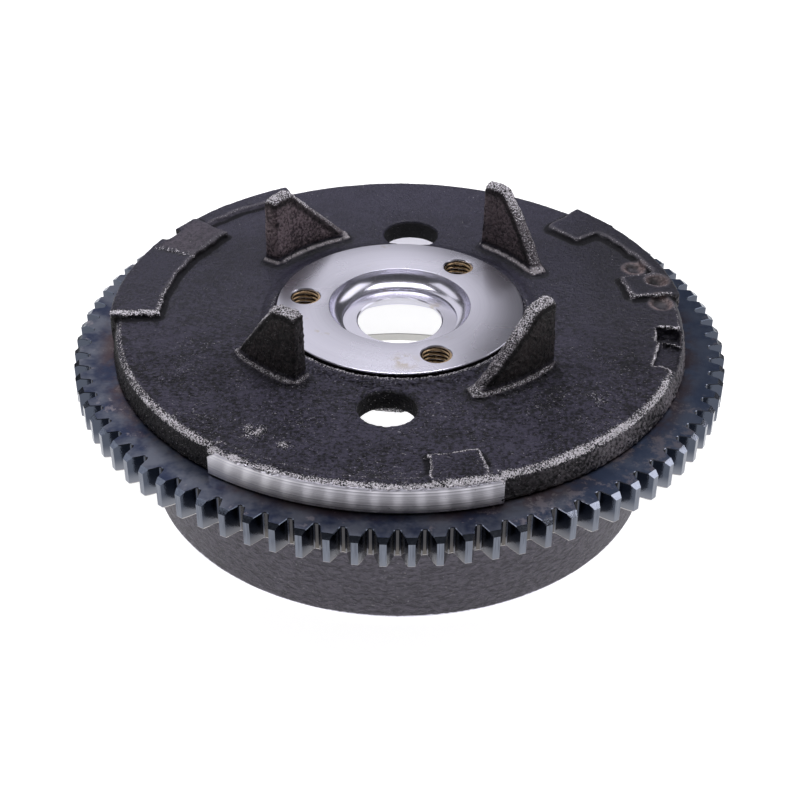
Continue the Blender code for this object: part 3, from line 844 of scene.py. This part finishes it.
    # a rusty line where the wall meets the gear
    foot = look.maths("MULTIPLY", look.band(parts[2], GEAR_TOP + 0.85 * MM, GEAR_TOP + 0.6 * MM),
                      look.band(radius, 92.3 * MM, 92.6 * MM))
    foot = look.maths("MULTIPLY", foot, look.band(parts[2], GEAR_TOP, GEAR_TOP + 0.2 * MM))
    colour = look.mix(look.maths("MULTIPLY", foot, 0.8), colour, (0.30, 0.25, 0.25, 1))

    # relief and gloss
    rough_lug = look.maths("MAXIMUM", look.band(front, 0, 1, 0.4, 1.0), look.maths("MULTIPLY", lug, 1.2))
    relief = look.maths("MULTIPLY", grain, rough_lug)
    relief = look.maths("MULTIPLY_ADD", flow, look.band(front, 0, 1, 0.1, 2.2), relief)
    relief = look.mix(skirt, relief, look.maths("MULTIPLY", streak, 0.9))
    normal = look.bump(relief, 1.1 * MM)
    pepper = look.maths("MULTIPLY", look.noise(place, 3300, 3, 0.6), look.band(bright, 0, 1, 1.0, 3.0))
    normal = look.bump(pepper, 0.10 * MM, normal)
    rough = look.maths("MAXIMUM", look.band(bright, 0, 1, 0.47, 0.36), look.maths("MULTIPLY", crease, 0.9))
    return look.set(Base_Color=colour, Metallic=look.maths("MULTIPLY", bright, 0.4), Roughness=rough,
                    Normal=normal)


def lathe_marks(look, radius, parts, scale):
    """Noise that runs in rings round the axis, as a lathe tool leaves it."""
    at = look.node("CombineXYZ", {"X": radius, "Z": parts[2]}).outputs[0]
    return look.noise(at, scale, 3, 0.65)


def turned_iron():
    look = Look("turned_iron", Metallic=1.0, Anisotropic=0.65, Anisotropic_Rotation=0.25)
    place = object_space(look)
    parts, radius = separate(look, place)
    fine = lathe_marks(look, radius, parts, 2600)
    wide = lathe_marks(look, radius, parts, 420)
    blotch = look.noise(place, 45, 3, 0.55)
    colour = look.mix(look.maths("ADD", look.maths("MULTIPLY", fine, 0.5), look.maths("MULTIPLY", wide, 0.5)),
                      (0.62, 0.61, 0.69, 1), (0.80, 0.79, 0.87, 1))
    smudge = look.maths("MULTIPLY", look.band(look.noise(place, 130, 4, 0.6), 0.60, 0.72),
                        look.band(blotch, 0.50, 0.62))
    away = look.node("VectorMath", {0: place, 1: STAIN}, operation="DISTANCE").outputs["Value"]
    stain = look.maths("MULTIPLY", look.band(away, 6.5 * MM, 1.5 * MM),
                       look.band(look.noise(place, 220, 3, 0.6), 0.40, 0.62))
    smudge = look.maths("MAXIMUM", smudge, stain)
    colour = look.mix(look.maths("MULTIPLY", smudge, 0.6), colour, (0.52, 0.45, 0.33, 1))
    # painted shade: the hub's side below its turned edge is drawn near black, for the shaded side wall as
    # well as its unturned iron
    side = look.maths("MULTIPLY", look.band(radius, HUB_RADIUS - 0.12 * MM, HUB_RADIUS - 0.02 * MM),
                      look.band(radius, 50 * MM, 45 * MM))
    side = look.maths("MULTIPLY", side, look.band(parts[2], HUB_TOP - 0.25 * MM, HUB_TOP - 0.55 * MM))
    colour = look.mix(side, colour, (0.010, 0.009, 0.010, 1))
    tangent = look.node("Tangent", direction_type="RADIAL", axis="Z").outputs[0]
    face = look.band(radius, RECESS_RADIUS - 0.1 * MM, RECESS_RADIUS + 0.3 * MM, 0.18, 0.24)
    rough = look.maths("MULTIPLY_ADD", blotch, 0.08, face)
    return look.set(Base_Color=colour, Roughness=rough, Tangent=tangent)


def turned_rim():
    look = Look("turned_rim", Metallic=1.0, Anisotropic=0.92, Anisotropic_Rotation=0.25)
    place = object_space(look)
    parts, radius = separate(look, place)
    lines = lathe_marks(look, radius, parts, 2400)
    along = look.band(look.maths("ARCTAN2", parts[1], parts[0]), -2.15, -1.75)
    dull = look.mix(along, (0.78, 0.76, 0.83, 1), (0.40, 0.39, 0.44, 1))
    clean = look.mix(along, (1.0, 0.98, 1.0, 1), (0.84, 0.82, 0.88, 1))
    colour = look.mix(look.band(lines, 0.35, 0.65), dull, clean)
    pore = look.band(look.noise(place, 800, 2, 0.5), 0.74, 0.78)
    colour = look.mix(pore, colour, (0.03, 0.03, 0.03, 1))
    tangent = look.node("Tangent", direction_type="RADIAL", axis="Z").outputs[0]
    return look.set(Base_Color=colour, Roughness=look.band(lines, 0.3, 0.7, 0.36, 0.30), Tangent=tangent)


def thread_metal():
    look = Look("tapped_iron", Metallic=1.0)
    place = object_space(look)
    patch = look.noise(place, 500, 3, 0.6)
    crest = look.mix(patch, (0.30, 0.18, 0.09, 1), (0.72, 0.55, 0.34, 1))
    colour = look.mix(look.band(look.value("ridge"), 0.25, 0.85), (0.012, 0.007, 0.004, 1), crest)
    return look.set(Base_Color=colour, Roughness=look.band(patch, 0.3, 0.7, 0.38, 0.24),
                    Normal=look.bump(patch, 0.05 * MM))


def gear_steel():
    look = Look("blued_gear_steel", Metallic=1.0)
    place = object_space(look)
    parts, radius = separate(look, place)
    root = GEAR_RADIUS - TOOTH_DEPTH
    cloud = look.noise(place, 60, 4, 0.65)
    grain = look.noise(place, 1000, 4, 0.7)
    # cloudy blue oxide, browner towards the rim, with patches of grey scale
    colour = look.mix(look.band(cloud, 0.38, 0.62), (0.034, 0.045, 0.088, 1), (0.150, 0.163, 0.200, 1))
    colour = look.mix(look.band(parts[0], 20 * MM, 85 * MM, 0, 0.5), colour, (0.15, 0.20, 0.31, 1))
    heat = look.maths("MULTIPLY", look.band(radius, 101.5 * MM, 95.5 * MM),
                      look.band(look.noise(place, 75, 4, 0.65), 0.38, 0.60))
    colour = look.mix(look.maths("MULTIPLY", heat, 0.75), colour, (0.105, 0.068, 0.064, 1))
    quarter = look.band(look.maths("ARCTAN2", parts[1], parts[0]), -0.2, -0.6)
    quarter = look.maths("MULTIPLY", quarter, look.band(parts[0], 20 * MM, 50 * MM))
    scale = look.maths("MULTIPLY_ADD", quarter, 0.06, look.noise(place, 150, 5, 0.75))
    scale = look.band(scale, 0.57, 0.67)
    colour = look.mix(look.maths("MULTIPLY", scale, 0.5), colour, (0.38, 0.34, 0.36, 1))
    # the teeth's bevels: worn, and drawn lighter at the front right as a painted highlight
    rise = look.node("SeparateXYZ", {"Vector": look.node("TexCoord").outputs["Normal"]}).outputs[2]
    steep = look.band(rise, 0.45, 0.25)
    bevel = look.maths("MULTIPLY", look.band(rise, 0.97, 0.90), look.band(radius, 100 * MM, 103 * MM))
    lit = look.maths("MULTIPLY", look.band(parts[0], 0, 60 * MM), look.band(parts[1], 5 * MM, -25 * MM))
    # worn holds the bevels' colour: wear, with a painted highlight where lit is high
    worn = look.mix(lit, look.mix(grain, (0.05, 0.065, 0.10, 1), (0.22, 0.25, 0.30, 1)),
                    look.mix(grain, (0.22, 0.25, 0.32, 1), (0.50, 0.53, 0.60, 1)))
    colour = look.mix(bevel, colour, worn)
    # flanks, the land between the teeth, tips, and the lower edge's bright line, which is wear with a painted
    # highlight; flanks and lands get lighter towards the bottom as a painted reflection of the floor
    flank = look.maths("MULTIPLY", look.band(radius, root - 0.1 * MM, root + 0.2 * MM), steep)
    # painted reflection: fade lightens flanks and lands towards the bottom, where they would mirror the
    # bright floor
    fade = look.band(parts[2], GEAR_TOP - 4.5 * MM, GEAR_BOTTOM + 0.5 * MM)
    wing = look.band(look.maths("ABSOLUTE", parts[0]), 35 * MM, 80 * MM)
    flank_high = look.mix(wing, (0.035, 0.040, 0.055, 1), (0.065, 0.075, 0.098, 1))
    flank_low = look.mix(wing, (0.15, 0.15, 0.165, 1), (0.18, 0.19, 0.215, 1))
    colour = look.mix(flank, colour, look.mix(fade, flank_high, flank_low))
    land = look.maths("MULTIPLY", look.band(radius, root + 0.25 * MM, root + 0.05 * MM),
                      look.band(parts[2], GEAR_TOP - 0.05 * MM, GEAR_TOP - 0.3 * MM))
    colour = look.mix(land, colour, look.mix(fade, (0.055, 0.054, 0.057, 1), (0.105, 0.097, 0.090, 1)))
    tip = look.maths("MULTIPLY", look.band(radius, GEAR_RADIUS - 0.16 * MM, GEAR_RADIUS - 0.06 * MM), steep)
    streak = look.noise(stretched(look, place, 1.0, 1.0, 0.06), 1800, 3, 0.6)
    colour = look.mix(look.maths("MULTIPLY", tip, look.band(streak, 0.3, 0.7, 0.45, 0.95)), colour,
                      (0.165, 0.180, 0.215, 1))
    # painted highlight: the lower edge is drawn bright, partly wear
    worn_edge_highlight = look.band(parts[2], GEAR_BOTTOM + 0.55 * MM, GEAR_BOTTOM + 0.3 * MM)
    colour = look.mix(look.maths("MULTIPLY", worn_edge_highlight, 0.7), colour, (0.55, 0.52, 0.50, 1))
    rough = look.maths("MULTIPLY_ADD", grain, 0.20, look.band(flank, 0, 1, 0.25, 0.14))
    rough = look.maths("MULTIPLY", rough, look.band(bevel, 0, 1, 1.0, 0.45))
    return look.set(Base_Color=colour, Roughness=rough, Normal=look.bump(grain, 0.05 * MM))


def ferrite():
    look = Look("ferrite_ceramic", Metallic=0.0)
    place = object_space(look)
    grain = look.noise(place, 1500, 4, 0.6)
    colour = look.mix(grain, (0.020, 0.020, 0.022, 1), (0.060, 0.058, 0.060, 1))
    return look.set(Base_Color=colour, Roughness=look.band(grain, 0.3, 0.7, 0.45, 0.65),
                    Normal=look.bump(grain, 0.04 * MM))


def nylon():
    look = Look("natural_nylon", Metallic=0.0)
    place = object_space(look)
    grain = look.noise(place, 2600, 3, 0.6)
    colour = look.mix(grain, (0.74, 0.73, 0.69, 1), (0.84, 0.83, 0.80, 1))
    return look.set(Base_Color=colour, Roughness=look.band(grain, 0.3, 0.7, 0.38, 0.5),
                    Normal=look.bump(grain, 0.02 * MM))


def stainless():
    look = Look("rolled_stainless", Metallic=1.0, Anisotropic=0.4)
    place = object_space(look)
    lines = look.noise(stretched(look, place, 0.04, 0.04, 1.0), 4200, 2, 0.5)
    colour = look.mix(lines, (0.86, 0.86, 0.87, 1), (0.94, 0.94, 0.94, 1))
    tangent = look.node("Tangent", direction_type="RADIAL", axis="Z").outputs[0]
    return look.set(Base_Color=colour, Roughness=look.band(lines, 0.3, 0.7, 0.16, 0.24), Tangent=tangent)


# ---- stage, lights and camera --------------------------------------------------------------
def floor():
    made = mesh_object("studio_floor", [(-3, -3, 0), (3, -3, 0), (3, 3, 0), (-3, 3, 0)], [(0, 1, 2, 3)])
    made.location.z = -0.2 * MM
    look = Look("studio_white", Base_Color=(0.5, 0.5, 0.5, 1), Roughness=0.9)
    look.shader.inputs["Emission Color"].default_value = (1, 1, 1, 1)
    look.shader.inputs["Emission Strength"].default_value = 0.92
    made.data.materials.append(look.material)


def softbox(name, azimuth, elevation, distance, size, radiance):
    """A soft light panel that faces the flywheel. Azimuth 0 is +X, 90 is behind the flywheel."""
    data = bpy.data.lights.new(name, "AREA")
    data.shape = "RECTANGLE"
    data.size, data.size_y = size
    data.energy = radiance * math.pi * size[0] * size[1]
    data.color = (0.95, 0.94, 1.0)
    made = bpy.data.objects.new(name, data)
    bpy.context.scene.collection.objects.link(made)
    level = distance * math.cos(math.radians(elevation))
    aim = Vector((0, 0, PLATE_TOP))
    place = Vector(polar(level, azimuth, distance * math.sin(math.radians(elevation)))) + aim
    made.location = place
    made.rotation_euler = (aim - place).to_track_quat("-Z", "Y").to_euler()
    return made


def lights():
    world = bpy.data.worlds.new("studio")
    world.use_nodes = True
    world.node_tree.nodes["Background"].inputs["Color"].default_value = (0.93, 0.93, 1, 1)
    world.node_tree.nodes["Background"].inputs["Strength"].default_value = 0.07
    bpy.context.scene.world = world
    softbox("rear", 110, 37, 1.1, (0.84, 0.62), 0.88)
    softbox("overhead", 90, 82, 1.0, (0.75, 0.42), 7.2)
    softbox("left", 176, 36, 1.0, (0.9, 0.5), 1.0)
    softbox("right", 10, 40, 1.0, (1.0, 0.5), 1.5)


CAMERA_DISTANCE = 522.9 * MM
CAMERA_ELEVATION = 35.22
CAMERA_ROLL = 0.42
CAMERA_AIM = 22.25 * MM       # height of the point that the camera looks at


def camera():
    data = bpy.data.cameras.new("camera")
    data.sensor_width = 36
    data.lens = 68.1
    data.shift_x = 0.001
    made = bpy.data.objects.new("camera", data)
    bpy.context.scene.collection.objects.link(made)
    tilt = math.radians(CAMERA_ELEVATION)
    place = Vector((0, -math.cos(tilt), math.sin(tilt))) * CAMERA_DISTANCE + Vector((0, 0, CAMERA_AIM))
    turn = Matrix.Rotation(math.pi / 2 - tilt, 4, "X") @ Matrix.Rotation(math.radians(CAMERA_ROLL), 4, "Z")
    made.matrix_world = Matrix.Translation(place) @ turn
    bpy.context.scene.camera = made


# ---- assembly ------------------------------------------------------------------------------
def fit(piece, look, slot, *nodes):
    """Dresses a piece, ties it to the body, and hides the CAD nodes that it replaces."""
    piece.data.materials.clear()
    piece.data.materials.append(look)
    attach(piece, BODY)
    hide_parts(*nodes)


def main():
    bpy.context.scene.view_settings.view_transform = "Standard"
    camera()
    lights()
    floor()
    turned = turned_iron()
    fit(rough_casting(), cast_iron(), "cast_iron", "flywheel_casting")
    for piece in (turned_hub(), turned_skirt()):
        fit(piece, turned, "cast_iron", "flywheel_casting")
    fit(turned_band(), turned_rim(), "cast_iron", "flywheel_casting")
    tapped = thread_metal()
    for index, (x, y) in enumerate(bolt_centres(), 1):
        fit(thread_insert(index, x, y), tapped, "cast_iron", "flywheel_casting")
    fit(ring_gear(), gear_steel(), "gear_steel", "ring_gear")
    magnet_look = ferrite()
    for index in range(MAGNET_COUNT):
        fit(arc_magnet(index), magnet_look, "ferrite", f"magnet_{index + 1:02d}")
    frame["nodes"]["magnet_retainer"].material_slots[0].material = nylon()
    sleeve = frame["nodes"]["magnet_sleeve"]
    sleeve.material_slots[0].material = stainless()
    shade(sleeve.data)


main()
